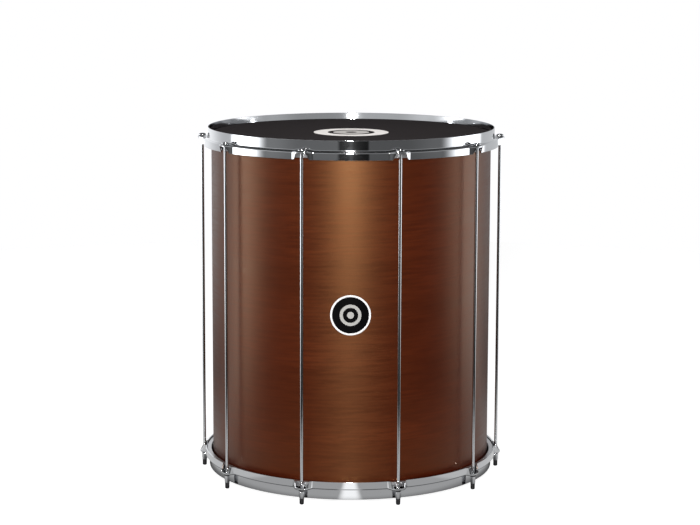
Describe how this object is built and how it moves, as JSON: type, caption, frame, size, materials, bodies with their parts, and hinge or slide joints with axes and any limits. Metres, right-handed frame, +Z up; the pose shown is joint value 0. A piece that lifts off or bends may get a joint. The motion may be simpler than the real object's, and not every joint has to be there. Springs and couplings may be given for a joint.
{
  "type": "surdo bass drum",
  "caption": "Tall two-headed samba bass drum with a stained wood shell, stepped steel hoops with pressed ears, straight through-rods, tuning nuts and rubber feet.",
  "frame": {"origin": "on the floor under the drum's axis, at the height of the bottoms of the ten rubber feet", "axes": "+Z up along the drum's axis from the resonant head to the batter head; -Y towards the front, where the badge is; a tension rod lies on the +X and on the -X side"},
  "size_m": [0.616, 0.59, 0.6986],
  "materials": {
    "stained_wood": "satin brown stain over fine horizontal grain",
    "hoop_chrome": "bright chrome plate on pressed steel",
    "rod_chrome": "bright chrome plate on steel rod",
    "nut_chrome": "bright chrome plate, turned",
    "flesh_hoop_aluminium": "plain rolled",
    "head_film": "matt black imitation leather coat on film",
    "badge_enamel": "gloss black with a plain white border",
    "washer_nylon": "black nylon",
    "foot_rubber": "black moulded rubber"
  },
  "bodies": {
    "drum": {"shell": "stained_wood", "badge": "badge_enamel", "top_hoop": "hoop_chrome", "bottom_hoop": "hoop_chrome", "batter_head_film": "head_film", "resonant_head_film": "head_film", "batter_flesh_hoop": "flesh_hoop_aluminium", "resonant_flesh_hoop": "flesh_hoop_aluminium", "tension_rod_01": "rod_chrome", "ear_washer_01": "washer_nylon", "rubber_foot_01": "foot_rubber", "tension_rod_02": "rod_chrome", "ear_washer_02": "washer_nylon", "rubber_foot_02": "foot_rubber", "tension_rod_03": "rod_chrome", "ear_washer_03": "washer_nylon", "rubber_foot_03": "foot_rubber", "tension_rod_04": "rod_chrome", "ear_washer_04": "washer_nylon", "rubber_foot_04": "foot_rubber", "tension_rod_05": "rod_chrome", "ear_washer_05": "washer_nylon", "rubber_foot_05": "foot_rubber", "tension_rod_06": "rod_chrome", "ear_washer_06": "washer_nylon", "rubber_foot_06": "foot_rubber", "tension_rod_07": "rod_chrome", "ear_washer_07": "washer_nylon", "rubber_foot_07": "foot_rubber", "tension_rod_08": "rod_chrome", "ear_washer_08": "washer_nylon", "rubber_foot_08": "foot_rubber", "tension_rod_09": "rod_chrome", "ear_washer_09": "washer_nylon", "rubber_foot_09": "foot_rubber", "tension_rod_10": "rod_chrome", "ear_washer_10": "washer_nylon", "rubber_foot_10": "foot_rubber"},
    "nut_01": {"tension_nut_01": "nut_chrome"},
    "nut_02": {"tension_nut_02": "nut_chrome"},
    "nut_03": {"tension_nut_03": "nut_chrome"},
    "nut_04": {"tension_nut_04": "nut_chrome"},
    "nut_05": {"tension_nut_05": "nut_chrome"},
    "nut_06": {"tension_nut_06": "nut_chrome"},
    "nut_07": {"tension_nut_07": "nut_chrome"},
    "nut_08": {"tension_nut_08": "nut_chrome"},
    "nut_09": {"tension_nut_09": "nut_chrome"},
    "nut_10": {"tension_nut_10": "nut_chrome"}
  },
  "joints": [
    {"name": "nut_01_turn", "type": "hinge", "parent": "drum", "child": "nut_01", "pos_m": [0.09209, -0.28341, 0.019], "axis": [0, 0, 1], "continuous": true},
    {"name": "nut_02_turn", "type": "hinge", "parent": "drum", "child": "nut_02", "pos_m": [0.24109, -0.17516, 0.019], "axis": [0, 0, 1], "continuous": true},
    {"name": "nut_03_turn", "type": "hinge", "parent": "drum", "child": "nut_03", "pos_m": [0.298, 0, 0.019], "axis": [0, 0, 1], "continuous": true},
    {"name": "nut_04_turn", "type": "hinge", "parent": "drum", "child": "nut_04", "pos_m": [0.24109, 0.17516, 0.019], "axis": [0, 0, 1], "continuous": true},
    {"name": "nut_05_turn", "type": "hinge", "parent": "drum", "child": "nut_05", "pos_m": [0.09209, 0.28341, 0.019], "axis": [0, 0, 1], "continuous": true},
    {"name": "nut_06_turn", "type": "hinge", "parent": "drum", "child": "nut_06", "pos_m": [-0.09209, 0.28341, 0.019], "axis": [0, 0, 1], "continuous": true},
    {"name": "nut_07_turn", "type": "hinge", "parent": "drum", "child": "nut_07", "pos_m": [-0.24109, 0.17516, 0.019], "axis": [0, 0, 1], "continuous": true},
    {"name": "nut_08_turn", "type": "hinge", "parent": "drum", "child": "nut_08", "pos_m": [-0.298, 0, 0.019], "axis": [0, 0, 1], "continuous": true},
    {"name": "nut_09_turn", "type": "hinge", "parent": "drum", "child": "nut_09", "pos_m": [-0.24109, -0.17516, 0.019], "axis": [0, 0, 1], "continuous": true},
    {"name": "nut_10_turn", "type": "hinge", "parent": "drum", "child": "nut_10", "pos_m": [-0.09209, -0.28341, 0.019], "axis": [0, 0, 1], "continuous": true}
  ]
}
